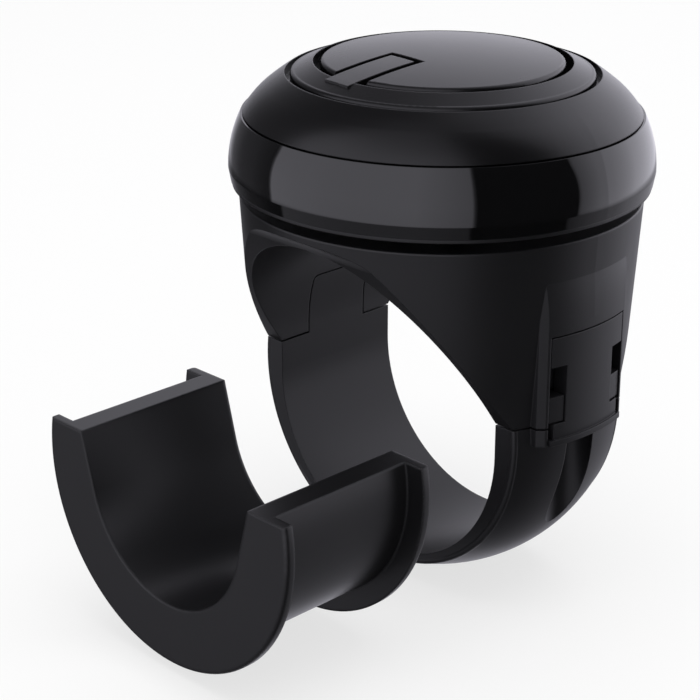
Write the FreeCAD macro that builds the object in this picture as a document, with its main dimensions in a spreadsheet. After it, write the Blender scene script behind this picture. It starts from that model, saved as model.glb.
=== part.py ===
"""Steering wheel spinner knob with a hinged rim clamp and a loose rim insert.

Lengths are in millimetres. The origin is the centre of the clamp bore. +Y runs
along the bore, +X points to the latch, and +Z runs up along the knob's axis.
"""
import FreeCAD, Part
import math
import os
import Sketcher

Vector = FreeCAD.Vector
Rotation = FreeCAD.Rotation
Placement = FreeCAD.Placement

doc = FreeCAD.newDocument("SpinnerKnob")

# Driving dimensions: alias, value, meaning.
DRIVING_SIZES = [
    ("bore_radius", 20.8, "clamp bore round the wheel rim"),
    ("clamp_width", 22.0, "width of the strap along the bore"),
    ("arch_height", 6.5, "centre of the bore's arched top"),
    ("parting_height", 4.83, "height of the joint between body and strap"),
    ("parting_gap", 0.25, "gap between body and strap"),
    ("crown_radius", 26.4, "ball that the strap's outside lies on"),
    ("crown_height", 2.0, "height of that ball's centre"),
    ("edge_round", 0.6, "rounding of the strap's outer edges"),
    ("saddle_lean", 14.0, "spread of the body's front and back cut faces up to their lip"),
    ("saddle_bulge", 240.0, "curve of the cut faces"),
    ("lip_spread", 3.6, "outward reach of the lip above the cut faces"),
    ("lip_rise", 2.6, "height of the lip above the cut faces"),
    ("lip_curve", 6.0, "curve of the lip above the cut faces"),
    ("lip_drop", 0.7, "lip's upper end below the top of the body"),
    ("deck_height", 30.3, "top of the body"),
    ("deck_radius", 27.75, "outside of the body at its top"),
    ("deck_round", 0.25, "rounding of the body's top edge"),
    ("pad_radius", 27.75, "outside of the raised latch pad"),
    ("pad_half_width", 8.6, "half of the latch pad's width"),
    ("pad_chamfer", 2.6, "slope at the latch pad's sides"),
    ("pad_inset", 0.6, "latch pad's shoulders and top edge in from its face"),
    ("pad_bottom", 2.3, "lower end of the latch pad"),
    ("pad_fade", 8.5, "height over which the pad fades at its top"),
    ("pad_top_drop", 2.8, "top of the pad below the top of the body"),
    ("slide_clearance", 0.2, "side gap round latch, lugs and tongue"),
    ("running_clearance", 0.05, "radial gap of a pin that turns"),
    ("press_clearance", 0.02, "radial gap of a pin that stays put"),
    ("tongue_width", 11.0, "width of the strap's hinge tongue"),
    ("tongue_top", 13.8, "top of the hinge tongue"),
    ("tongue_round", 0.6, "rounding of the tongue's top corners"),
    ("knuckle_radius", 2.5, "rounding of tongue and legs round the hinge pin"),
    ("hinge_pin_radius", 1.2, "hinge pin"),
    ("hinge_pin_length", 20.6, "hinge pin"),
    ("hinge_pin_shift", 0.5, "hinge pin towards the open end of its hole"),
    ("hinge_offset", 23.5, "hinge pin from the knob's axis"),
    ("hinge_height", 7.4, "hinge pin above the bore's centre"),
    ("latch_top", 17.5, "top of the latch head"),
    ("latch_head_height", 4.1, "latch head"),
    ("latch_head_width", 14.3, "latch head"),
    ("latch_neck_width", 9.2, "latch neck between the lugs"),
    ("latch_foot_top", 5.3, "top of the latch foot"),
    ("latch_foot_width", 12.9, "latch foot"),
    ("latch_thickness", 2.55, "latch plate"),
    ("lip_height", 0.8, "lip below the latch foot"),
    ("lip_overhang", 0.35, "lip beyond the pad"),
    ("barrel_radius", 1.2, "round part of the neck at its pin"),
    ("nose_height", 1.4, "catch nose behind the latch head"),
    ("nose_width", 6.0, "catch nose"),
    ("nose_top_drop", 0.9, "catch nose below the top of the head"),
    ("nose_grip", 0.35, "catch nose behind the edge of its slot"),
    ("catch_travel", 3.2, "slot left open below the catch nose"),
    ("nose_room", 0.5, "room behind the catch nose"),
    ("latch_pin_radius", 0.7, "latch pin"),
    ("latch_pin_inset", 2.25, "latch pin in from the pad's face"),
    ("latch_pin_height", 7.2, "latch pin above the bore's centre"),
    ("latch_recess_depth", 2.75, "latch recess in the body, from the pad's face"),
    ("hasp_inset", 3.55, "front of the strap's block behind the neck, in from the pad's face"),
    ("hasp_thickness", 1.7, "strap's block behind the neck"),
    ("lug_top", 9.1, "top of the lugs beside the neck"),
    ("lug_recess", 0.2, "lugs set back from the pad"),
    ("foot_pocket_depth", 3.75, "pocket behind the latch foot, from the pad's face"),
    ("scoop_radius", 3.05, "nail scoop below the lip"),
    ("scoop_inset", 2.9, "axis of the nail scoop in from the pad's face"),
    ("head_gap", 1.7, "gap between body and head"),
    ("rim_inset", 0.45, "bottom rim of the head in from the ring's widest part"),
    ("rim_thickness", 0.5, "bottom rim of the head"),
    ("band_radius", 29.15, "gloss ring at its widest"),
    ("band_height", 8.9, "gloss ring"),
    ("band_foot", 1.7, "widest part of the gloss ring above its lower edge"),
    ("band_foot_inset", 0.3, "lower edge of the gloss ring in from its widest part"),
    ("band_top_inset", 1.75, "upper edge of the gloss ring in from its widest part"),
    ("band_bulge_radius", 16.1, "curve of the gloss ring's section"),
    ("shell_inset", 2.9, "outside of the carrier's wall in from the ring's widest part"),
    ("shell_wall", 1.9, "carrier wall"),
    ("plate_thickness", 2.0, "carrier plate"),
    ("seam_gap", 0.15, "seam between gloss ring and cap"),
    ("cap_edge_inset", 0.3, "cap at the seam in from the gloss ring's upper edge"),
    ("cap_shoulder_inset", 3.35, "cap at its shoulder in from the gloss ring's upper edge"),
    ("cap_shoulder_rise", 3.55, "cap's shoulder above the gloss ring"),
    ("cap_edge_bulge", 13.0, "curve of the cap below the shoulder"),
    ("cap_top_bulge", 30.0, "curve of the cap above the shoulder"),
    ("recess_rim_rise", 5.5, "rim of the top recess above the gloss ring"),
    ("recess_inset", 6.05, "top recess in from the gloss ring's upper edge"),
    ("recess_depth", 1.3, "top recess in the cap"),
    ("cap_thickness", 1.4, "cap under the recess"),
    ("spigot_wall", 1.7, "ring of the cap inside the carrier"),
    ("spigot_depth", 3.0, "ring of the cap inside the carrier"),
    ("ring_gap", 0.75, "groove between the cap and the index ring"),
    ("ring_width", 3.1, "index ring"),
    ("ring_edge_rise", 0.3, "index ring's outer edge above the rim of the recess"),
    ("disc_gap", 1.0, "groove between the index ring and the centre disc"),
    ("crown_rise", 8.5, "top of the centre disc above the gloss ring"),
    ("top_bulge", 100.0, "curve of the disc's top"),
    ("relief_round", 0.6, "rounding of the edges of ring and disc"),
    ("bar_width", 4.6, "index bar"),
    ("bar_inner_end", 7.2, "inner end of the index bar"),
    ("bar_groove", 1.0, "groove round the index bar"),
    ("index_angle", -95.0, "direction of the index bar, in degrees"),
    ("ledge_height", 1.0, "lower face of the ball bearing above the head's underside"),
    ("bearing_width", 7.0, "ball bearing"),
    ("bearing_outside", 11.0, "radius of the outer race"),
    ("bearing_inside", 4.0, "radius of the inner race's bore"),
    ("race_wall", 2.0, "thickness of each race"),
    ("ball_radius", 1.985, "bearing ball"),
    ("ball_clearance", 0.06, "gap between a ball and its groove"),
    ("ball_count", 7, "number of balls"),
    ("cage_wall", 1.5, "ball cage"),
    ("cage_height", 5.4, "ball cage"),
    ("hub_wall", 2.0, "carrier hub round the bearing"),
    ("ledge_width", 1.6, "carrier ledge under the outer race"),
    ("collar_radius", 6.0, "spacer under the inner race"),
    ("washer_thickness", 1.0, "washer on the inner race"),
    ("washer_radius", 6.4, "washer on the inner race"),
    ("nut_height", 2.9, "spindle nut"),
    ("hex_radius", 7.5, "corner radius of nut and bolt head"),
    ("bolt_head_height", 4.8, "head of the spindle bolt"),
    ("bolt_seat_thickness", 3.8, "body above the bolt's head"),
    ("bolt_boss_drop", 9.0, "boss round the bolt's head below the top of the body"),
    ("bolt_boss_wall", 2.5, "boss round the bolt's head"),
    ("screw_inset", 3.15, "circle of the cap screws in from the top recess"),
    ("screw_count", 3, "number of cap screws"),
    ("screw_head_radius", 2.5, "cap screw"),
    ("screw_head_height", 1.0, "cap screw"),
    ("screw_radius", 1.4, "cap screw"),
    ("screw_length", 8.0, "cap screw without its head"),
    ("boss_radius", 3.2, "screw boss under the cap"),
    ("insert_position", -38.4, "middle of the insert along the bore's axis"),
    ("insert_channel_play", 0.3, "insert's channel wider than the strap"),
    ("flange_thickness", 1.35, "flange at each end of the insert"),
    ("flange_radius", 23.4, "flange of the insert"),
    ("saddle_clearance", 0.4, "insert's saddle inside the bore"),
    ("insert_bore_radius", 14.7, "round bottom inside the insert"),
    ("insert_flare_angle", 15.0, "lean of the insert's inner walls, in degrees"),
    ("insert_top", 4.4, "top of the insert's walls"),
    ("insert_round", 0.5, "rounding of the insert's flanges"),
    ("cut_reach", 45.0, "reach of the cuts that run out of the part"),
]

sheet = doc.addObject("Spreadsheet::Sheet", "Sizes")
for row, (alias, number, meaning) in enumerate(DRIVING_SIZES, start=1):
    sheet.set("A%d" % row, meaning)
    sheet.set("B%d" % row, str(number))
    sheet.setAlias("B%d" % row, alias)
doc.recompute()


class Size:
    """A number with the sheet formula that gives it."""

    def __init__(self, value, formula=None):
        self.value = float(value)
        self.formula = formula or repr(float(value))

    def combined(self, other, sign, result):
        return Size(result, "(%s %s %s)" % (self.formula, sign, other.formula))

    def __add__(self, other):
        other = as_size(other)
        return self.combined(other, "+", self.value + other.value)

    def __sub__(self, other):
        other = as_size(other)
        return self.combined(other, "-", self.value - other.value)

    def __mul__(self, other):
        other = as_size(other)
        return self.combined(other, "*", self.value * other.value)

    def __truediv__(self, other):
        other = as_size(other)
        return self.combined(other, "/", self.value / other.value)

    def __neg__(self):
        return Size(-self.value, "(0 - %s)" % self.formula)


def as_size(number):
    return number if isinstance(number, Size) else Size(number)


def root(size):
    return Size(math.sqrt(size.value), "sqrt(%s)" % size.formula)


def sine(degrees):
    return Size(math.sin(math.radians(degrees.value)), "sin(%s * 1 deg)" % degrees.formula)


def cosine(degrees):
    return Size(math.cos(math.radians(degrees.value)), "cos(%s * 1 deg)" % degrees.formula)


class Sheet:
    """The driving sizes by name."""


sizes = Sheet()
for alias, number, meaning in DRIVING_SIZES:
    setattr(sizes, alias, Size(number, "Sizes." + alias))

ZERO = Size(0.0)
# FAR lies outside the clamp on every side, and THROUGH runs right through it.
FAR = sizes.cut_reach
THROUGH = FAR + FAR


def set_out():
    """Heights and radii that follow from the driving sizes."""
    s = sizes
    s.pad_top = s.deck_height - s.pad_top_drop
    s.pad_fade_start = s.pad_top - s.pad_fade
    s.latch_inner_face = s.pad_radius - s.latch_thickness
    s.latch_pin_offset = s.pad_radius - s.latch_pin_inset
    s.recess_floor = s.pad_radius - s.latch_recess_depth
    s.hasp_front = s.pad_radius - s.hasp_inset
    s.hasp_back = s.hasp_front - s.hasp_thickness
    s.foot_pocket_floor = s.pad_radius - s.foot_pocket_depth
    s.scoop_offset = s.pad_radius - s.scoop_inset
    s.bolt_head_top = s.deck_height - s.bolt_seat_thickness
    s.rim_height = s.deck_height + s.head_gap
    s.rim_radius = s.band_radius - s.rim_inset
    s.bearing_bottom = s.rim_height + s.ledge_height
    s.band_bottom = s.rim_height + s.rim_thickness
    s.band_top = s.band_bottom + s.band_height
    s.band_top_radius = s.band_radius - s.band_top_inset
    s.shell_radius = s.band_radius - s.shell_inset
    s.cap_edge_radius = s.band_top_radius - s.cap_edge_inset
    s.cap_shoulder_radius = s.band_top_radius - s.cap_shoulder_inset
    s.cap_shoulder_height = s.band_top + s.cap_shoulder_rise
    s.recess_rim_height = s.band_top + s.recess_rim_rise
    s.recess_radius = s.band_top_radius - s.recess_inset
    s.groove_floor = s.recess_rim_height - s.recess_depth
    s.ring_outer_radius = s.recess_radius - s.ring_gap
    s.ring_inner_radius = s.ring_outer_radius - s.ring_width
    s.ring_edge_height = s.recess_rim_height + s.ring_edge_rise
    s.disc_radius = s.ring_inner_radius - s.disc_gap
    s.crown_top = s.band_top + s.crown_rise
    s.screw_circle_radius = s.recess_radius - s.screw_inset


set_out()

# A sketch's own x and y run along these axes of the part.
FRONT_PLANE = Placement(Vector(), Rotation(Vector(1, 0, 0), 90))
SIDE_PLANE = Placement(Vector(), Rotation(Vector(1, 1, 1), 120))
TOP_PLANE = Placement()
UP = Vector(0, 0, 1)
ALONG = Vector(0, 1, 0)
OUTWARD = Vector(1, 0, 0)


def bind(thing, prop, size):
    """Ties a property to its formula in the sheet."""
    thing.setExpression(prop, as_size(size).formula)


def arc_through(start, end, radius, turn):
    """The short arc from start to end: turn is 1 for left and -1 for right."""
    chord = end - start
    half = chord.Length / 2.0
    rise = math.sqrt(max(radius * radius - half * half, 0.0))
    side = Vector(-chord.y, chord.x, 0).normalize() * turn
    centre = (start + end) * 0.5 + side * rise
    first, last = (start, end) if turn > 0 else (end, start)
    first_angle = math.atan2(first.y - centre.y, first.x - centre.x)
    last_angle = math.atan2(last.y - centre.y, last.x - centre.x)
    return Part.ArcOfCircle(Part.Circle(centre, Vector(0, 0, 1), radius), first_angle, last_angle)


def draw_outline(sketch, corners):
    """Draws a closed outline. A corner is (x, y) or (x, y, radius, turn) for an arc that follows."""
    points = [Vector(corner[0].value, corner[1].value, 0) for corner in corners]
    count = len(corners)
    starts = []
    ends = []
    for index, corner in enumerate(corners):
        start, end = points[index], points[(index + 1) % count]
        if len(corner) == 2:
            shape = sketch.addGeometry(Part.LineSegment(start, end), False)
            starts.append((shape, 1))
            ends.append((shape, 2))
        else:
            radius, turn = corner[2], corner[3]
            shape = sketch.addGeometry(arc_through(start, end, radius.value, turn), False)
            starts.append((shape, 1 if turn > 0 else 2))
            ends.append((shape, 2 if turn > 0 else 1))
            number = sketch.addConstraint(Sketcher.Constraint("Radius", shape, radius.value))
            sketch.setExpression("Constraints[%d]" % number, radius.formula)
    for index, corner in enumerate(corners):
        shape, end = starts[index]
        before, before_end = ends[index - 1]
        sketch.addConstraint(Sketcher.Constraint("Coincident", before, before_end, shape, end))
        for kind, axis, size in (("DistanceX", -2, corner[0]), ("DistanceY", -1, corner[1])):
            if size.value == 0.0:
                sketch.addConstraint(Sketcher.Constraint("PointOnObject", shape, end, axis))
                continue
            number = sketch.addConstraint(Sketcher.Constraint(kind, -1, 1, shape, end, size.value))
            sketch.setExpression("Constraints[%d]" % number, size.formula)


def free_sketch(name, plane, corners):
    sketch = doc.addObject("Sketcher::SketchObject", name + "_outline")
    sketch.Placement = plane
    draw_outline(sketch, corners)
    return sketch


def revolved(name, corners, plane=FRONT_PLANE, axis=UP):
    """A solid turned about an axis of the part."""
    solid = doc.addObject("Part::Revolution", name)
    solid.Source = free_sketch(name, plane, corners)
    solid.Axis = axis
    solid.Angle = 360.0
    solid.Solid = True
    return solid


def extruded(name, plane, corners, direction, low, high):
    """A prism on an outline, between two heights along a direction."""
    solid = doc.addObject("Part::Extrusion", name)
    solid.Base = free_sketch(name, plane, corners)
    solid.DirMode = "Custom"
    solid.Dir = direction
    solid.Solid = True
    bind(solid, "LengthFwd", high)
    bind(solid, "LengthRev", -low)
    return solid


def block(name, low, high):
    """A box between two corners, each given as three sizes."""
    solid = doc.addObject("Part::Box", name)
    for prop, near, far in zip(("Length", "Width", "Height"), low, high):
        bind(solid, prop, as_size(far) - near)
    for axis, near in zip("xyz", low):
        bind(solid, "Placement.Base." + axis, near)
    return solid


def rod(name, radius, length, base, direction=UP):
    """A cylinder from a base point along an axis of the part."""
    solid = doc.addObject("Part::Cylinder", name)
    bind(solid, "Radius", radius)
    bind(solid, "Height", length)
    solid.Placement = Placement(Vector(), Rotation(UP, direction))
    for axis, place in zip("xyz", base):
        bind(solid, "Placement.Base." + axis, place)
    return solid


def spoke(name, radius, height, turn):
    """A cylinder from the knob's axis outwards, at a height and an angle in degrees."""
    solid = doc.addObject("Part::Cylinder", name)
    bind(solid, "Radius", radius)
    bind(solid, "Height", FAR)
    solid.Placement = Placement(Vector(), Rotation(UP, turn.value) * Rotation(UP, OUTWARD))
    bind(solid, "Placement.Base.z", height)
    return solid


def hexagon(name, radius, height, base_height):
    solid = doc.addObject("Part::Prism", name)
    solid.Polygon = 6
    bind(solid, "Circumradius", radius)
    bind(solid, "Height", height)
    bind(solid, "Placement.Base.z", base_height)
    return solid


def fused(name, pieces):
    solid = doc.addObject("Part::MultiFuse", name)
    solid.Shapes = pieces
    return solid


def cut(name, base, tools):
    solid = doc.addObject("Part::Cut", name)
    solid.Base = base
    solid.Tool = tools[0] if len(tools) == 1 else fused(name + "_tools", tools)
    return solid


def common(name, pieces):
    solid = doc.addObject("Part::MultiCommon", name)
    solid.Shapes = pieces
    return solid


def turned_body(label, corners):
    """A part design body turned about the knob's axis."""
    body = doc.addObject("PartDesign::Body", label)
    sketch = body.newObject("Sketcher::SketchObject", label + "_section")
    front = [item for item in body.Origin.OriginFeatures if item.Role == "XZ_Plane"][0]
    sketch.AttachmentSupport = [(front, "")]
    sketch.MapMode = "FlatFace"
    draw_outline(sketch, corners)
    turn = body.newObject("PartDesign::Revolution", label + "_turn")
    turn.Profile = sketch
    turn.ReferenceAxis = (sketch, ["V_Axis"])
    turn.Angle = 360.0
    return body


def ring_outline(inner, outer, low, high):
    return [(inner, low), (outer, low), (outer, high), (inner, high)]


nodes = {}


def keep(label, solid):
    """Names a finished sub-part."""
    solid.Label = label
    nodes[label] = solid


def parting_radius(height):
    """Outside radius of the clamp at a height on the strap's ball."""
    above = height - sizes.crown_height
    return root(sizes.crown_radius * sizes.crown_radius - above * above)


def latch_pad(name, low, high):
    """The raised pad round the latch between two heights."""
    s = sizes
    fade_radius = (s.pad_fade * s.pad_fade + s.pad_inset * s.pad_inset) / (s.pad_inset * 2)
    shell = revolved(name + "_shell", [
        (s.bore_radius, s.pad_bottom),
        (s.pad_radius, s.pad_bottom),
        (s.pad_radius, s.pad_fade_start, fade_radius, 1),
        (s.pad_radius - s.pad_inset, s.pad_top),
        (s.bore_radius, s.pad_top),
    ])
    half = s.pad_half_width
    shoulder = root(s.pad_radius * s.pad_radius - half * half) - s.pad_inset
    plan = extruded(name + "_plan", TOP_PLANE, [
        (s.bore_radius, -half),
        (shoulder, -half),
        (shoulder + s.pad_chamfer, s.pad_chamfer - half),
        (shoulder + s.pad_chamfer, half - s.pad_chamfer),
        (shoulder, half),
        (s.bore_radius, half),
    ], UP, low, high)
    return common(name, [shell, plan])


def clamp_bore(name):
    """The bore's prism: round below, upright at the sides, arched at the top."""
    r = sizes.bore_radius
    arch = sizes.arch_height
    return extruded(name, FRONT_PLANE, [
        (-r, ZERO, r, 1),
        (ZERO, -r, r, 1),
        (r, ZERO),
        (r, arch, r, 1),
        (ZERO, arch + r, r, 1),
        (-r, arch),
    ], ALONG, -FAR, FAR)


def tongue_prism(name, play):
    """The hinge tongue up to its rounded top corners, grown by a play."""
    s = sizes
    half = s.tongue_width / 2 + play
    top = s.tongue_top + play
    ease = s.tongue_round + play
    return extruded(name, SIDE_PLANE, [
        (-half, ZERO),
        (half, ZERO),
        (half, top - ease, ease, 1),
        (half - ease, top),
        (ease - half, top, ease, 1),
        (-half, top - ease),
    ], OUTWARD, -(s.hinge_offset + play), -play)


def clamp_body():
    """The upper clamp half: a tapered cup with an arched bore and two legs."""
    s = sizes
    bottom = s.parting_height + s.parting_gap / 2
    foot_radius = parting_radius(bottom)
    cup = revolved("cup", [
        (ZERO, bottom),
        (foot_radius, bottom),
        (s.deck_radius, s.deck_height - s.deck_round, s.deck_round, 1),
        (s.deck_radius - s.deck_round, s.deck_height),
        (ZERO, s.deck_height),
    ])
    pad = latch_pad("body_pad", bottom, s.pad_top)
    boss = rod("bolt_boss", s.hex_radius + s.bolt_boss_wall, s.bolt_boss_drop,
               (ZERO, ZERO, s.deck_height - s.bolt_boss_drop))
    bore = cut("arched_bore", clamp_bore("arched_bore_prism"), [boss])
    half_width = s.clamp_width / 2
    lip_reach = half_width + s.saddle_lean
    lip_top = s.deck_height - s.lip_drop
    saddle_cuts = []
    for side, name in ((1, "back_saddle"), (-1, "front_saddle")):
        saddle_cuts.append(extruded(name, SIDE_PLANE, [
            (half_width * side, bottom - s.parting_gap),
            (FAR * side, bottom - s.parting_gap),
            (FAR * side, lip_top),
            ((lip_reach + s.lip_spread) * side, lip_top, s.lip_curve, side),
            (lip_reach * side, lip_top - s.lip_rise, s.saddle_bulge, -side),
            (half_width * side, bottom),
        ], OUTWARD, -FAR, FAR))
    hole_radius = s.bearing_inside + s.running_clearance
    spindle_hole = rod("spindle_hole", hole_radius, s.deck_height, (ZERO, ZERO, ZERO))
    head_pocket = hexagon("head_pocket", s.hex_radius + s.slide_clearance, s.bolt_head_top, ZERO)
    recess_half = s.latch_head_width / 2 + s.slide_clearance
    recess = block("latch_recess", (s.recess_floor, -recess_half, ZERO),
                   (FAR, recess_half, s.latch_top + s.slide_clearance))
    hasp_pocket = block("hasp_pocket", (s.hasp_back - s.parting_gap, -recess_half, ZERO),
                        (FAR, recess_half, s.lug_top + s.parting_gap))
    nose_top = s.latch_top - s.nose_top_drop
    nose_half = s.nose_width / 2 + s.slide_clearance
    slot_floor = s.recess_floor - s.nose_grip - s.nose_room
    nose_slot = block("nose_slot",
                      (slot_floor, -nose_half, nose_top - s.nose_height - s.catch_travel),
                      (FAR, nose_half, nose_top + s.parting_gap))
    tongue_half = s.tongue_width / 2 + s.slide_clearance
    slot_top = s.hinge_height + s.knuckle_radius + s.parting_gap
    tongue_slot = block("tongue_slot", (-FAR, -tongue_half, ZERO), (ZERO, tongue_half, slot_top))
    tongue_pocket = tongue_prism("tongue_pocket", s.slide_clearance)
    pin_start = s.hinge_pin_shift - s.hinge_pin_length / 2
    pin_hole = rod("body_pin_hole", s.hinge_pin_radius + s.press_clearance, FAR,
                   (-s.hinge_offset, pin_start, s.hinge_height), ALONG)
    corner = block("corner_room", (-FAR, -FAR, ZERO), (-s.hinge_offset, FAR, s.hinge_height))
    corner_post = rod("corner_post", s.knuckle_radius - s.press_clearance, THROUGH,
                      (-s.hinge_offset, -FAR, s.hinge_height), ALONG)
    relief = cut("corner_relief", corner, [corner_post])
    solid = fused("cup_with_pad", [cup, pad])
    tools = [bore, spindle_hole, head_pocket, recess, hasp_pocket, nose_slot, tongue_slot,
             tongue_pocket, pin_hole, relief] + saddle_cuts
    keep("clamp_body", cut("clamp_body", solid, tools))


def clamp_strap():
    """The lower clamp half: a crowned strap with a hinge tongue and two latch lugs."""
    s = sizes
    top = s.parting_height - s.parting_gap / 2
    half_width = s.clamp_width / 2
    crown_edge = root(s.crown_radius * s.crown_radius - half_width * half_width)
    ease = s.edge_round
    inner_edge = half_width - ease
    rounded_edge = root(s.crown_radius * s.crown_radius - inner_edge * inner_edge)
    crown = revolved("strap_crown", [
        (-half_width, ZERO),
        (half_width, ZERO),
        (half_width, crown_edge - ease, ease, 1),
        (inner_edge, rounded_edge, s.crown_radius, 1),
        (-inner_edge, rounded_edge, ease, 1),
        (-half_width, crown_edge - ease),
    ], SIDE_PLANE, ALONG)
    bind(crown, "Placement.Base.z", s.crown_height)
    below = block("below_parting", (-FAR, -FAR, -FAR), (FAR, FAR, top))
    lower = common("strap_lower", [crown, below])
    pad = latch_pad("strap_pad", s.pad_bottom, top)
    tongue_half = s.tongue_width / 2
    knuckle = rod("knuckle", s.knuckle_radius, s.tongue_width,
                  (-s.hinge_offset, -tongue_half, s.hinge_height), ALONG)
    tongue = tongue_prism("tongue", ZERO)
    outer_web = block("tongue_outer_web",
                      (-s.hinge_offset - s.knuckle_radius, -tongue_half, ZERO),
                      (-s.bore_radius, tongue_half, s.hinge_height))
    lug_half = s.latch_head_width / 2
    hasp = block("hasp", (s.hasp_back, -lug_half, ZERO), (s.hasp_front, lug_half, s.lug_top))
    lug_pieces = []
    lug_inside = s.latch_neck_width / 2 + s.slide_clearance
    lug_bottom = s.latch_foot_top + s.slide_clearance
    for side, name in ((1, "far_lug"), (-1, "near_lug")):
        edges = (lug_inside, lug_half) if side > 0 else (-lug_half, -lug_inside)
        lug = block(name + "_block", (s.hasp_back, edges[0], lug_bottom),
                    (FAR, edges[1], s.lug_top))
        face = rod(name + "_face", s.pad_radius - s.lug_recess, FAR, (ZERO, ZERO, ZERO))
        lug_pieces.append(common(name, [lug, face]))
    solid = fused("strap_solid", [lower, pad, knuckle, tongue, outer_web, hasp] + lug_pieces)
    bore = clamp_bore("strap_bore")
    recess_half = s.latch_head_width / 2 + s.slide_clearance
    foot_pocket = block("foot_pocket",
                        (s.foot_pocket_floor, -recess_half, s.pad_bottom - s.slide_clearance),
                        (FAR, recess_half, lug_bottom))
    front_room = block("neck_room",
                       (s.hasp_front, -lug_inside, s.pad_bottom), (FAR, lug_inside, FAR))
    scoop = rod("nail_scoop", s.scoop_radius, FAR, (s.scoop_offset, ZERO, s.pad_bottom - FAR))
    pin_hole = rod("strap_pin_hole", s.hinge_pin_radius + s.running_clearance, THROUGH,
                   (-s.hinge_offset, -FAR, s.hinge_height), ALONG)
    lug_hole = rod("lug_pin_hole", s.latch_pin_radius + s.press_clearance, THROUGH,
                   (s.latch_pin_offset, -FAR, s.latch_pin_height), ALONG)
    keep("clamp_strap", cut("clamp_strap", solid,
                            [bore, foot_pocket, front_room, scoop, pin_hole, lug_hole]))


def hinge_pins():
    s = sizes
    hinge_start = s.hinge_pin_shift - s.hinge_pin_length / 2
    keep("hinge_pin", rod("hinge_pin", s.hinge_pin_radius, s.hinge_pin_length,
                          (-s.hinge_offset, hinge_start, s.hinge_height), ALONG))
    lug_half = s.latch_head_width / 2
    keep("latch_pin", rod("latch_pin", s.latch_pin_radius, s.latch_head_width,
                          (s.latch_pin_offset, -lug_half, s.latch_pin_height), ALONG))


def latch():
    """The rocking latch plate: a wide head, a neck between the lugs, and a foot with a lip."""
    s = sizes
    head_half = s.latch_head_width / 2
    neck_half = s.latch_neck_width / 2
    foot_half = s.latch_foot_width / 2
    head_bottom = s.latch_top - s.latch_head_height
    lip_top = s.pad_bottom + s.lip_height
    plate_outline = [
        (-foot_half, lip_top),
        (foot_half, lip_top),
        (foot_half, s.latch_foot_top),
        (neck_half, s.latch_foot_top),
        (neck_half, head_bottom),
        (head_half, head_bottom),
        (head_half, s.latch_top),
        (-head_half, s.latch_top),
        (-head_half, head_bottom),
        (-neck_half, head_bottom),
        (-neck_half, s.latch_foot_top),
        (-foot_half, s.latch_foot_top),
    ]
    plate = extruded("latch_outline", SIDE_PLANE, plate_outline, OUTWARD, s.latch_inner_face, FAR)
    face = rod("latch_face", s.pad_radius, FAR, (ZERO, ZERO, ZERO))
    plate_solid = common("latch_plate", [plate, face])
    lip_block = block("lip_block", (s.latch_inner_face, -head_half, s.pad_bottom),
                      (FAR, head_half, lip_top))
    lip_face = rod("lip_face", s.pad_radius + s.lip_overhang, FAR, (ZERO, ZERO, ZERO))
    lip = common("latch_lip", [lip_block, lip_face])
    barrel = rod("neck_barrel", s.barrel_radius, s.latch_neck_width,
                 (s.latch_pin_offset, -neck_half, s.latch_pin_height), ALONG)
    nose_top = s.latch_top - s.nose_top_drop
    nose = block("catch_nose",
                 (s.recess_floor - s.nose_grip, -s.nose_width / 2, nose_top - s.nose_height),
                 (s.latch_inner_face + s.nose_grip, s.nose_width / 2, nose_top))
    solid = fused("latch_solid", [plate_solid, lip, barrel, nose])
    hole = rod("latch_pin_hole", s.latch_pin_radius + s.running_clearance, THROUGH,
               (s.latch_pin_offset, -FAR, s.latch_pin_height), ALONG)
    keep("latch", cut("latch", solid, [hole]))


def spindle_set():
    """The bolt that the head turns on, with its spacer, washer and nut."""
    s = sizes
    bearing_top = s.bearing_bottom + s.bearing_width
    nut_bottom = bearing_top + s.washer_thickness
    shank = s.bearing_inside - s.press_clearance
    bolt_end = nut_bottom + s.nut_height - s.slide_clearance
    head_bottom = s.bolt_head_top - s.bolt_head_height
    head = hexagon("bolt_head", s.hex_radius, s.bolt_head_height, head_bottom)
    stem = rod("bolt_shank", shank, bolt_end - head_bottom, (ZERO, ZERO, head_bottom))
    keep("spindle_bolt", fused("spindle_bolt", [head, stem]))
    keep("spacer_collar", turned_body("spacer_collar", ring_outline(
        s.bearing_inside, s.collar_radius, s.deck_height, s.bearing_bottom)))
    keep("spindle_washer", turned_body("spindle_washer", ring_outline(
        s.bearing_inside, s.washer_radius, bearing_top, nut_bottom)))
    nut = hexagon("nut_blank", s.hex_radius, s.nut_height, nut_bottom)
    thread = rod("nut_thread", s.bearing_inside, THROUGH, (ZERO, ZERO, ZERO))
    keep("spindle_nut", cut("spindle_nut", nut, [thread]))


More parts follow.
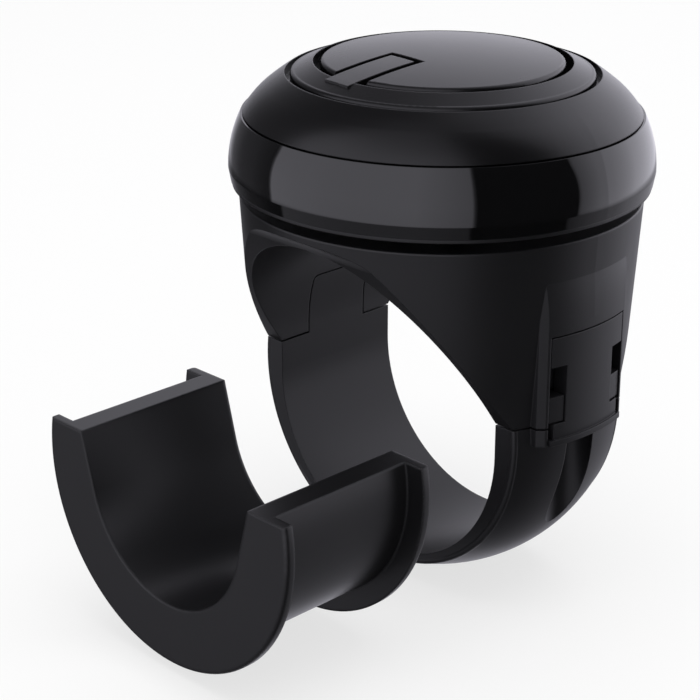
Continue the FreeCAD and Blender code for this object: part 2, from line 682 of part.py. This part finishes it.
def bearing():
    """A deep groove ball bearing: two races, the balls and their cage."""
    s = sizes
    low = s.bearing_bottom
    high = s.bearing_bottom + s.bearing_width
    middle = s.bearing_bottom + s.bearing_width / 2
    pitch = (s.bearing_inside + s.bearing_outside) / 2
    groove = s.ball_radius + s.ball_clearance
    outer_wall = s.bearing_outside - s.race_wall
    inner_wall = s.bearing_inside + s.race_wall
    reach = outer_wall - pitch
    groove_half = root(groove * groove - reach * reach)
    keep("bearing_outer_race", turned_body("bearing_outer_race", [
        (outer_wall, low),
        (s.bearing_outside, low),
        (s.bearing_outside, high),
        (outer_wall, high),
        (outer_wall, middle + groove_half, groove, -1),
        (outer_wall, middle - groove_half),
    ]))
    keep("bearing_inner_race", turned_body("bearing_inner_race", [
        (s.bearing_inside, low),
        (inner_wall, low),
        (inner_wall, middle - groove_half, groove, -1),
        (inner_wall, middle + groove_half),
        (inner_wall, high),
        (s.bearing_inside, high),
    ]))
    balls = []
    pockets = []
    spacing = 360.0 / s.ball_count.value
    for index in range(int(s.ball_count.value)):
        turn = Size(spacing * (index + 0.5))
        ball = doc.addObject("Part::Sphere", "ball_%d" % (index + 1))
        bind(ball, "Radius", s.ball_radius)
        bind(ball, "Placement.Base.x", pitch * cosine(turn))
        bind(ball, "Placement.Base.y", pitch * sine(turn))
        bind(ball, "Placement.Base.z", middle)
        balls.append(ball)
        pockets.append(spoke("pocket_%d" % (index + 1), groove, middle, turn))
    keep("bearing_balls", fused("bearing_balls", balls))
    half_wall = s.cage_wall / 2
    half_height = s.cage_height / 2
    cage_ring = revolved("cage_ring", ring_outline(
        pitch - half_wall, pitch + half_wall, middle - half_height, middle + half_height))
    keep("bearing_cage", cut("bearing_cage", cage_ring, pockets))


def screw_places():
    """Directions of the cap screws."""
    s = sizes
    for index in range(int(s.screw_count.value)):
        turn = Size(360.0 / s.screw_count.value * index)
        yield index + 1, s.screw_circle_radius * cosine(turn), s.screw_circle_radius * sine(turn)


def head_carrier():
    """The underside of the head: plate, outer wall, and the hub round the bearing."""
    s = sizes
    wall_top = s.band_top + s.seam_gap
    plate_top = s.rim_height + s.plate_thickness
    hub_inside = s.bearing_outside + s.press_clearance
    hub_outside = hub_inside + s.hub_wall
    ring = revolved("carrier_ring", [
        (s.bearing_outside - s.ledge_width, s.rim_height),
        (s.rim_radius, s.rim_height),
        (s.rim_radius, s.band_bottom),
        (s.shell_radius, s.band_bottom),
        (s.shell_radius, wall_top),
        (s.shell_radius - s.shell_wall, wall_top),
        (s.shell_radius - s.shell_wall, plate_top),
        (hub_outside, plate_top),
        (hub_outside, s.bearing_bottom + s.bearing_width),
        (hub_inside, s.bearing_bottom + s.bearing_width),
        (hub_inside, s.bearing_bottom),
        (s.bearing_outside - s.ledge_width, s.bearing_bottom),
    ])
    holes = []
    for number, across, forward in screw_places():
        holes.append(rod("screw_hole_%d" % number, s.screw_radius + s.slide_clearance,
                         FAR, (across, forward, s.rim_height)))
        holes.append(rod("screw_sink_%d" % number, s.screw_head_radius + s.slide_clearance,
                         s.screw_head_height + s.slide_clearance,
                         (across, forward, s.rim_height)))
    keep("head_carrier", cut("head_carrier", ring, holes))


def gloss_ring():
    """The bulging band round the head."""
    s = sizes
    inside = s.shell_radius + s.press_clearance
    keep("gloss_ring", turned_body("gloss_ring", [
        (inside, s.band_bottom),
        (s.band_radius - s.band_foot_inset, s.band_bottom),
        (s.band_radius, s.band_bottom + s.band_foot, s.band_bulge_radius, 1),
        (s.band_top_radius, s.band_top),
        (inside, s.band_top),
    ]))


def knob_cap():
    """The domed cap with a flat recess for disc and ring, a spigot, a bearing rib and bosses."""
    s = sizes
    rim = s.band_top + s.seam_gap
    under = s.groove_floor - s.cap_thickness
    spigot_outside = s.shell_radius - s.shell_wall - s.press_clearance
    spigot_inside = spigot_outside - s.spigot_wall
    dome = revolved("cap_dome", [
        (spigot_inside, rim - s.spigot_depth),
        (spigot_outside, rim - s.spigot_depth),
        (spigot_outside, rim),
        (s.cap_edge_radius, rim, s.cap_edge_bulge, 1),
        (s.cap_shoulder_radius, s.cap_shoulder_height, s.cap_top_bulge, 1),
        (s.recess_radius, s.recess_rim_height),
        (s.recess_radius, s.groove_floor),
        (ZERO, s.groove_floor),
        (ZERO, under),
        (spigot_inside - s.cap_thickness, under),
        (spigot_inside, under - s.cap_thickness),
    ])
    rib_inside = s.bearing_outside - s.ledge_width
    rib = revolved("bearing_rib", ring_outline(
        rib_inside, s.bearing_outside + s.hub_wall, s.bearing_bottom + s.bearing_width,
        s.groove_floor - s.cap_thickness / 2))
    boss_bottom = s.rim_height + s.plate_thickness
    bosses = []
    pilots = []
    for number, across, forward in screw_places():
        bosses.append(rod("screw_boss_%d" % number, s.boss_radius,
                          s.groove_floor - s.cap_thickness / 2 - boss_bottom,
                          (across, forward, boss_bottom)))
        pilots.append(rod("screw_pilot_%d" % number, s.screw_radius + s.press_clearance,
                          s.screw_length, (across, forward, boss_bottom)))
    keep("knob_cap", cut("knob_cap", fused("cap_solid", [dome, rib] + bosses), pilots))


def head_screws():
    """The screws that hold carrier and cap together."""
    s = sizes
    pieces = []
    head_low = s.rim_height + s.slide_clearance
    head_top = head_low + s.screw_head_height
    for number, across, forward in screw_places():
        head = rod("screw_head_%d" % number, s.screw_head_radius, s.screw_head_height,
                   (across, forward, head_low))
        stem = rod("screw_stem_%d" % number, s.screw_radius, s.screw_length,
                   (across, forward, head_top - s.slide_clearance))
        pieces.append(fused("screw_%d" % number, [head, stem]))
    keep("head_screws", fused("head_screws", pieces))


def dome_height(radius):
    """Height of the disc's domed top at a distance from the knob's axis."""
    s = sizes
    drop = s.top_bulge - root(s.top_bulge * s.top_bulge - radius * radius)
    return s.crown_top - drop


def turned_to_index(solid):
    """Turns a top piece so that its bar points in the index direction."""
    solid.Placement = Placement(Vector(), Rotation(UP, sizes.index_angle.value))
    bind(solid, "Placement.Rotation.Angle", sizes.index_angle)
    return solid


def top_relief():
    """The raised ring with its index bar, and the disc that the bar reaches into."""
    s = sizes
    ease = s.relief_round
    ring_top = dome_height(s.ring_inner_radius)
    ring = revolved("ring_band", [
        (s.ring_inner_radius, s.groove_floor),
        (s.ring_outer_radius, s.groove_floor),
        (s.ring_outer_radius, s.ring_edge_height - ease, ease, 1),
        (s.ring_outer_radius - ease, s.ring_edge_height),
        (s.ring_inner_radius, ring_top),
    ])
    bar_block = block("bar_block", (s.bar_inner_end, -s.bar_width / 2, s.groove_floor),
                      (s.ring_inner_radius + s.bar_groove, s.bar_width / 2, s.crown_top))
    bar_crown = revolved("bar_crown", [
        (ZERO, s.rim_height),
        (s.ring_outer_radius, s.rim_height),
        (s.ring_outer_radius, dome_height(s.ring_outer_radius), s.top_bulge, 1),
        (ZERO, s.crown_top),
    ])
    bar = common("index_bar", [bar_block, bar_crown])
    keep("index_ring", turned_to_index(fused("index_ring", [ring, bar])))
    disc_edge = s.disc_radius - ease
    disc = revolved("disc_blank", [
        (ZERO, s.groove_floor),
        (s.disc_radius, s.groove_floor),
        (s.disc_radius, dome_height(disc_edge) - ease, ease, 1),
        (disc_edge, dome_height(disc_edge), s.top_bulge, 1),
        (ZERO, s.crown_top),
    ])
    slot_half = s.bar_width / 2 + s.bar_groove
    slot = block("bar_slot", (s.bar_inner_end - s.bar_groove, -slot_half, ZERO),
                 (FAR, slot_half, THROUGH))
    keep("centre_disc", turned_to_index(cut("centre_disc", disc, [slot])))


def insert():
    """The loose U-shaped saddle that fills the bore round a slimmer rim."""
    s = sizes
    half_channel = (s.clamp_width + s.insert_channel_play) / 2
    half_length = half_channel + s.flange_thickness
    saddle_radius = s.bore_radius - s.saddle_clearance
    ease = s.insert_round
    spool = revolved("insert_spool", [
        (-half_length, ZERO),
        (half_length, ZERO),
        (half_length, s.flange_radius - ease, ease, 1),
        (half_length - ease, s.flange_radius),
        (half_channel, s.flange_radius),
        (half_channel, saddle_radius),
        (-half_channel, saddle_radius),
        (-half_channel, s.flange_radius),
        (-half_length + ease, s.flange_radius, ease, 1),
        (-half_length, s.flange_radius - ease),
    ], SIDE_PLANE, ALONG)
    lean = s.insert_flare_angle
    touch_across = s.insert_bore_radius * cosine(lean)
    touch_height = -(s.insert_bore_radius * sine(lean))
    above = s.insert_top + s.insert_bore_radius
    top_across = touch_across + (above - touch_height) * sine(lean) / cosine(lean)
    channel = extruded("insert_channel", FRONT_PLANE, [
        (-touch_across, touch_height, s.insert_bore_radius, 1),
        (ZERO, -s.insert_bore_radius, s.insert_bore_radius, 1),
        (touch_across, touch_height),
        (top_across, above),
        (-top_across, above),
    ], ALONG, -FAR, FAR)
    lid = block("above_insert", (-FAR, -FAR, s.insert_top), (FAR, FAR, FAR))
    solid = cut("insert", spool, [channel, lid])
    bind(solid, "Placement.Base.y", s.insert_position)
    keep("insert", solid)


def failed_objects():
    """Names of the document's objects that did not build."""
    names = []
    for thing in doc.Objects:
        if "Invalid" in thing.State or "Error" in thing.State:
            names.append(thing.Name)
    return names


clamp_body()
clamp_strap()
hinge_pins()
latch()
spindle_set()
bearing()
head_carrier()
gloss_ring()
knob_cap()
head_screws()
top_relief()
insert()

doc.recompute()
broken = failed_objects()
if broken:
    raise RuntimeError("objects that did not build: " + ", ".join(broken))
for label, solid in nodes.items():
    shape = solid.Shape
    if shape.isNull() or not shape.isValid() or not shape.Solids:
        raise RuntimeError("bad shape: " + label)

os.makedirs("parts", exist_ok=True)
for label, solid in nodes.items():
    solid.Shape.exportStep(os.path.join("parts", label + ".step"))
    print("%-20s %2d solid(s) %10.1f mm3" % (label, len(solid.Shape.Solids), solid.Shape.Volume))
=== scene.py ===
"""The looks of a steering wheel spinner knob: satin and polished black plastic in a pale studio.

All shapes come from the CAD frame and stay as they are. This script gives them their materials, and adds a
floor, the studio that they mirror, one lamp, and a camera that stands where the photograph's did.
"""

import math

import bpy
from mathutils import Matrix, Vector


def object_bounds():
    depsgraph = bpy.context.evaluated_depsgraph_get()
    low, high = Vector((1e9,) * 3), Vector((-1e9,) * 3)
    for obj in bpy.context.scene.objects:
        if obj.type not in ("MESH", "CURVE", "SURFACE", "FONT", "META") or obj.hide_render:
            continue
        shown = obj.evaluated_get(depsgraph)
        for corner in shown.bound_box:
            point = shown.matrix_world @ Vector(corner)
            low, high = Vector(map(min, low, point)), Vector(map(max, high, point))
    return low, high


MM = 0.001
WHITE = (1.0, 1.0, 1.0)

# Camera, as the perspective fit of the photograph gives it. The azimuth turns from -Y towards +X, and the
# reach is from the nearest point that it sees to the farthest.
CAMERA_AZIMUTH = math.radians(45.618)
CAMERA_ELEVATION = math.radians(21.867)
CAMERA_PLACE = Vector((179.72, -193.38, 112.17)) * MM
CAMERA_REACH = (0.01, 20.0)
FRAME_PIXELS = 700
FOCAL_PIXELS = 2000
SENSOR_WIDTH = 36.0

# A plain pale floor, just below the object.
FLOOR_SIZE = 3.0
FLOOR_GAP = 0.2 * MM
FLOOR_DARK = (0.93, 0.93, 0.93)
FLOOR_LIGHT = (0.96, 0.96, 0.96)
FLOOR_CLOUDS = 3.0
FLOOR_ROUGHNESS = 0.7
# How much of the floor is plain white where it is seen; the rest is lit, and shows the shadow.
FLOOR_WHITENESS = 0.72

# A soft lamp above the object. Gloss doesn't mirror it.
LAMP_PLACE = Vector((0.1, 0.1, 1.1))
LAMP_SIZE = 1.0
LAMP_WATTS = 9.0

# The studio that the object mirrors: (azimuth in degrees from +X, brightness), white being 1.
STUDIO = (
    (-180, 0.13), (-165, 0.15), (-148, 0.10), (-146.6, 1.30), (-136, 1.48), (-120, 1.62), (-60, 1.66),
    (-45, 1.38), (-30.6, 1.10), (-29.2, 0.03), (28.6, 0.03), (30, 0.74), (36, 1.02), (45, 1.44),
    (56, 1.80), (76, 2.05), (94, 1.65), (112, 1.22), (133, 1.05), (152, 0.60), (164, 0.20), (180, 0.13),
)
# How the studio's brightness changes with height: (elevation in degrees, share).
STUDIO_HEIGHT = (
    (-90, 0.03), (-55, 0.09), (-26, 0.28), (-15.4, 0.36), (-14, 0.95), (0, 1.0), (32, 1.0), (46, 0.88),
    (66, 0.48), (90, 0.30),
)
# The white floor behind the object, as its undersides mirror it, in the same two forms.
MIRRORED_FLOOR = (
    (-180, 0.10), (-158, 0.0), (66, 0.0), (88, 0.16), (108, 0.22), (120, 0.75), (142, 0.75), (156, 0.26),
    (172, 0.18), (180, 0.10),
)
MIRRORED_FLOOR_HEIGHT = (
    (-90, 0.20), (-66, 0.80), (-50, 1.0), (-36, 1.0), (-28, 0.35), (-14, 0.0), (90, 0.0),
)
STUDIO_TINT = (0.97, 0.955, 1.06)
# Light that reaches matt surfaces from all round.
AMBIENT = 0.50

# Noise patterns of the materials, in blotches per metre.
PLASTIC_CLOUDS = 90.0
PLASTIC_SCUFFS = 420.0
PLASTIC_SMUDGES = 38.0
OIL_FILM = 160.0

# How worn an edge is, by its pointiness, which is 0.5 where the surface is flat.
EDGE_WEAR = ((0.0, 0.0), (0.53, 0.0), (0.62, 1.0), (1.0, 1.0))
# What the clouds and the worn edges each add to the lighter colour of the plastic.
CLOUD_SHARE = 0.6
WEAR_SHARE = 0.4
PLASTIC_IOR = 1.5

# Marks from turning are drawn out level, since most of the metal pieces are turned about an upright axis.
TURNING_STRETCH = (0.15, 0.15, 1.0)
TURNING_DEPTH = 0.01 * MM
# The least roughness of a metal, as a share of what its marks add to it.
LEAST_ROUGHNESS = 0.5


class Nodes:
    """A short way to build a node tree. An input takes a number, a colour or another node's output."""

    def __init__(self, tree):
        self.tree = tree
        tree.nodes.clear()

    def feed(self, target, value):
        if isinstance(value, bpy.types.NodeSocket):
            self.tree.links.new(value, target)
        else:
            target.default_value = value

    def add(self, kind, inputs=None, **settings):
        """Adds a node. The settings come first, because they may decide which inputs it has."""
        node = self.tree.nodes.new(kind)
        for name, value in settings.items():
            setattr(node, name, value)
        for name, value in (inputs or {}).items():
            self.feed(node.inputs[name], value)
        return node

    def add_in_order(self, kind, values, **settings):
        """Adds a node whose inputs share a name, so that their places tell them apart."""
        node = self.add(kind, **settings)
        for target, value in zip(node.inputs, values):
            self.feed(target, value)
        return node.outputs[0]

    def math(self, operation, *values):
        return self.add_in_order("ShaderNodeMath", values, operation=operation)

    def choose(self, share, first, second):
        """Mixes two shaders: the second one by its share."""
        return self.add_in_order("ShaderNodeMixShader", (share, first, second))

    def blend(self, share, first, second):
        """Mixes two colours: the second one by its share."""
        inputs = {"Factor": share, "A": (*first, 1.0), "B": (*second, 1.0)}
        return self.add("ShaderNodeMix", inputs, data_type="RGBA").outputs["Result"]

    def ramp(self, factor, stops):
        """A brightness ramp: stops are (place from 0 to 1, value from 0 to 1)."""
        node = self.add("ShaderNodeValToRGB", {"Fac": factor})
        elements = node.color_ramp.elements
        elements[0].position, elements[1].position = stops[0][0], stops[-1][0]
        for place, _ in stops[1:-1]:
            elements.new(place)
        for element, (_, value) in zip(elements, stops):
            element.color = (value, value, value, 1.0)
        return node.outputs["Color"]

    def noise(self, coordinates, scale, detail=2.0, roughness=0.5):
        inputs = {"Vector": coordinates, "Scale": scale, "Detail": detail, "Roughness": roughness}
        return self.add("ShaderNodeTexNoise", inputs).outputs["Fac"]

    def background(self, colour, strength):
        inputs = {"Color": (*colour, 1.0), "Strength": strength}
        return self.add("ShaderNodeBackground", inputs).outputs["Background"]

    def object_place(self):
        return self.add("ShaderNodeTexCoord").outputs["Object"]

    def show_surface(self, shader):
        self.add("ShaderNodeOutputMaterial", {"Surface": shader})


def new_material(name):
    material = bpy.data.materials.new(name)
    material.use_nodes = True
    return material, Nodes(material.node_tree)


def moulded_plastic(name, dark, light, roughness, roughness_change, sheen, grain_size, grain_depth,
                    rounding):
    """Black plastic from a mould: a fine grain, cloudy sheen and slightly worn, softened edges."""
    material, nodes = new_material(name)
    place = nodes.object_place()

    clouds = nodes.noise(place, PLASTIC_CLOUDS, detail=3.0)
    edge = nodes.ramp(nodes.add("ShaderNodeNewGeometry").outputs["Pointiness"], EDGE_WEAR)
    worn = nodes.math("MULTIPLY", edge, nodes.noise(place, PLASTIC_SCUFFS, detail=3.0, roughness=0.6))
    lightness = nodes.math("ADD", nodes.math("MULTIPLY", clouds, CLOUD_SHARE),
                           nodes.math("MULTIPLY", worn, WEAR_SHARE))

    smudges = nodes.noise(place, PLASTIC_SMUDGES, detail=4.0, roughness=0.55)
    smudged = nodes.math("ADD", nodes.math("MULTIPLY", smudges, roughness_change),
                         roughness - roughness_change / 2)

    soft_edge = nodes.add("ShaderNodeBevel", {"Radius": rounding}, samples=4)
    grain = nodes.add("ShaderNodeBump", {
        "Distance": grain_depth,
        "Height": nodes.noise(place, 1.0 / grain_size),
        "Normal": soft_edge.outputs["Normal"],
    })
    shader = nodes.add("ShaderNodeBsdfPrincipled", {
        "Base Color": nodes.blend(lightness, dark, light),
        "Roughness": smudged,
        "IOR": PLASTIC_IOR,
        "Specular IOR Level": sheen,
        "Normal": grain.outputs["Normal"],
    })
    nodes.show_surface(shader.outputs["BSDF"])
    return material


def turned_metal(name, dark, light, roughness, lines_per_metre):
    """Bright metal with fine marks from turning and a thin, uneven film of oil."""
    material, nodes = new_material(name)
    place = nodes.object_place()
    drawn_out = nodes.add("ShaderNodeMapping", {"Vector": place, "Scale": TURNING_STRETCH})
    marks = nodes.noise(drawn_out.outputs["Vector"], lines_per_metre, detail=4.0, roughness=0.7)
    film = nodes.noise(place, OIL_FILM, detail=3.0)
    grooves = nodes.add("ShaderNodeBump", {"Distance": TURNING_DEPTH, "Height": marks})
    shader = nodes.add("ShaderNodeBsdfPrincipled", {
        "Base Color": nodes.blend(film, dark, light),
        "Metallic": 1.0,
        "Roughness": nodes.math("ADD", nodes.math("MULTIPLY", marks, roughness),
                                roughness * LEAST_ROUGHNESS),
        "Normal": grooves.outputs["Normal"],
    })
    nodes.show_surface(shader.outputs["BSDF"])
    return material


def floor_material():
    """A lit, pale surface that is mostly plain white where the camera or a mirror sees it."""
    material, nodes = new_material("studio_floor")
    clouds = nodes.noise(nodes.object_place(), FLOOR_CLOUDS)
    lit = nodes.add("ShaderNodeBsdfPrincipled", {
        "Base Color": nodes.blend(clouds, FLOOR_DARK, FLOOR_LIGHT),
        "Roughness": FLOOR_ROUGHNESS,
    })
    white = nodes.add("ShaderNodeEmission", {"Color": (*WHITE, 1.0), "Strength": 1.0})
    path = nodes.add("ShaderNodeLightPath").outputs
    seen = nodes.math("MAXIMUM", path["Is Camera Ray"], path["Is Glossy Ray"])
    seen = nodes.math("MAXIMUM", seen, path["Is Transmission Ray"])
    share = nodes.math("MULTIPLY", seen, FLOOR_WHITENESS)
    nodes.show_surface(nodes.choose(share, lit.outputs["BSDF"], white.outputs["Emission"]))
    return material


def build_floor(low_point):
    half = FLOOR_SIZE / 2
    height = low_point - FLOOR_GAP
    mesh = bpy.data.meshes.new("studio_floor")
    corners = [(-half, -half, height), (half, -half, height), (half, half, height), (-half, half, height)]
    mesh.from_pydata(corners, [], [(0, 1, 2, 3)])
    mesh.materials.append(floor_material())
    floor = bpy.data.objects.new("studio_floor", mesh)
    bpy.context.scene.collection.objects.link(floor)
    floor.visible_glossy = False


def glow(nodes, turn, rise, by_azimuth, by_elevation):
    """The brightness of one part of the studio: how it changes round the object and with height."""
    peak = max(value for _, value in by_azimuth)
    azimuth_stops = [((angle + 180) / 360, value / peak) for angle, value in by_azimuth]
    elevation_stops = [((angle + 90) / 180, value) for angle, value in by_elevation]
    light = nodes.math("MULTIPLY", nodes.ramp(turn, azimuth_stops), nodes.ramp(rise, elevation_stops))
    return nodes.math("MULTIPLY", light, peak)


def build_studio():
    """White behind the object, and for its reflections a softbox, a dark flag and a bright back."""
    world = bpy.data.worlds.new("studio")
    bpy.context.scene.world = world
    world.use_nodes = True
    nodes = Nodes(world.node_tree)
    generated = nodes.add("ShaderNodeTexCoord").outputs["Generated"]
    direction = nodes.add("ShaderNodeSeparateXYZ", {"Vector": generated}).outputs
    azimuth = nodes.math("ARCTAN2", direction["Y"], direction["X"])
    elevation = nodes.math("ARCSINE", direction["Z"])
    turn = nodes.math("ADD", nodes.math("DIVIDE", azimuth, 2 * math.pi), 0.5)
    rise = nodes.math("ADD", nodes.math("DIVIDE", elevation, math.pi), 0.5)
    light = nodes.math("ADD", glow(nodes, turn, rise, STUDIO, STUDIO_HEIGHT),
                       glow(nodes, turn, rise, MIRRORED_FLOOR, MIRRORED_FLOOR_HEIGHT))

    path = nodes.add("ShaderNodeLightPath").outputs
    mirrored = nodes.math("MAXIMUM", path["Is Glossy Ray"], path["Is Transmission Ray"])
    unseen = nodes.choose(mirrored, nodes.background(WHITE, AMBIENT), nodes.background(STUDIO_TINT, light))
    world_shader = nodes.choose(path["Is Camera Ray"], unseen, nodes.background(WHITE, 1.0))
    nodes.add("ShaderNodeOutputWorld", {"Surface": world_shader})


def build_lamp():
    data = bpy.data.lights.new("top_lamp", "AREA")
    data.shape = "RECTANGLE"
    data.size, data.size_y = LAMP_SIZE, LAMP_SIZE
    data.energy = LAMP_WATTS
    lamp = bpy.data.objects.new("top_lamp", data)
    bpy.context.scene.collection.objects.link(lamp)
    lamp.location = LAMP_PLACE
    lamp.rotation_mode = "QUATERNION"
    lamp.rotation_quaternion = (-LAMP_PLACE).to_track_quat("-Z", "Y")
    lamp.visible_glossy = False


def build_camera():
    back = Vector((
        math.sin(CAMERA_AZIMUTH) * math.cos(CAMERA_ELEVATION),
        -math.cos(CAMERA_AZIMUTH) * math.cos(CAMERA_ELEVATION),
        math.sin(CAMERA_ELEVATION),
    ))
    right = Vector((math.cos(CAMERA_AZIMUTH), math.sin(CAMERA_AZIMUTH), 0.0))
    turn = Matrix((right, back.cross(right), back)).transposed()
    data = bpy.data.cameras.new("camera")
    data.sensor_width = SENSOR_WIDTH
    data.lens = SENSOR_WIDTH * FOCAL_PIXELS / FRAME_PIXELS
    data.clip_start, data.clip_end = CAMERA_REACH
    camera = bpy.data.objects.new("camera", data)
    bpy.context.scene.collection.objects.link(camera)
    camera.matrix_world = Matrix.Translation(CAMERA_PLACE) @ turn.to_4x4()
    bpy.context.scene.camera = camera


def dress(nodes, material, names):
    """Gives a material to CAD nodes."""
    for name in names:
        slots = nodes[name].data.materials
        slots.clear()
        slots.append(material)


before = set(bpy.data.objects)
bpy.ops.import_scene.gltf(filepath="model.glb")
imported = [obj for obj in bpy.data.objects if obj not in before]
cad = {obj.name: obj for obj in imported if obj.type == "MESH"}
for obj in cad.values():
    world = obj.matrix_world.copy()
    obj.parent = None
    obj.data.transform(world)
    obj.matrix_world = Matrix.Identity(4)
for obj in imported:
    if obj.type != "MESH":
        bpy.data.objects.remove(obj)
cad_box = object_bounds()

satin = moulded_plastic(
    "satin_black", dark=(0.0066, 0.0065, 0.0075), light=(0.0110, 0.0107, 0.0122),
    roughness=0.36, roughness_change=0.06, sheen=0.36,
    grain_size=0.35 * MM, grain_depth=0.004 * MM, rounding=0.2 * MM)
insert_satin = moulded_plastic(
    "insert_black", dark=(0.0044, 0.0043, 0.0050), light=(0.0076, 0.0074, 0.0084),
    roughness=0.36, roughness_change=0.06, sheen=0.46,
    grain_size=0.35 * MM, grain_depth=0.004 * MM, rounding=0.55 * MM)
dome_satin = moulded_plastic(
    "dome_black", dark=(0.0026, 0.0025, 0.0029), light=(0.0044, 0.0043, 0.0047),
    roughness=0.27, roughness_change=0.05, sheen=0.33,
    grain_size=0.3 * MM, grain_depth=0.003 * MM, rounding=0.22 * MM)
gloss = moulded_plastic(
    "gloss_black", dark=(0.0020, 0.0020, 0.0022), light=(0.0036, 0.0036, 0.0039),
    roughness=0.035, roughness_change=0.02, sheen=0.5,
    grain_size=1.2 * MM, grain_depth=0.0008 * MM, rounding=0.08 * MM)
plated = turned_metal(
    "plated_steel", dark=(0.42, 0.43, 0.44), light=(0.56, 0.57, 0.58),
    roughness=0.26, lines_per_metre=900.0)
ground = turned_metal(
    "bearing_steel", dark=(0.55, 0.55, 0.56), light=(0.66, 0.66, 0.67),
    roughness=0.12, lines_per_metre=1400.0)

dress(cad, satin, ["clamp_body", "clamp_strap", "latch", "head_carrier"])
dress(cad, insert_satin, ["insert"])
dress(cad, dome_satin, ["knob_cap", "index_ring", "centre_disc"])
dress(cad, gloss, ["gloss_ring"])
dress(cad, plated, ["hinge_pin", "latch_pin", "spindle_bolt", "spacer_collar", "spindle_washer",
                    "spindle_nut", "head_screws", "bearing_cage"])
dress(cad, ground, ["bearing_outer_race", "bearing_inner_race", "bearing_balls"])

build_floor(cad_box[0].z)
build_studio()
build_lamp()
build_camera()
bpy.context.scene.view_settings.view_transform = "Standard"
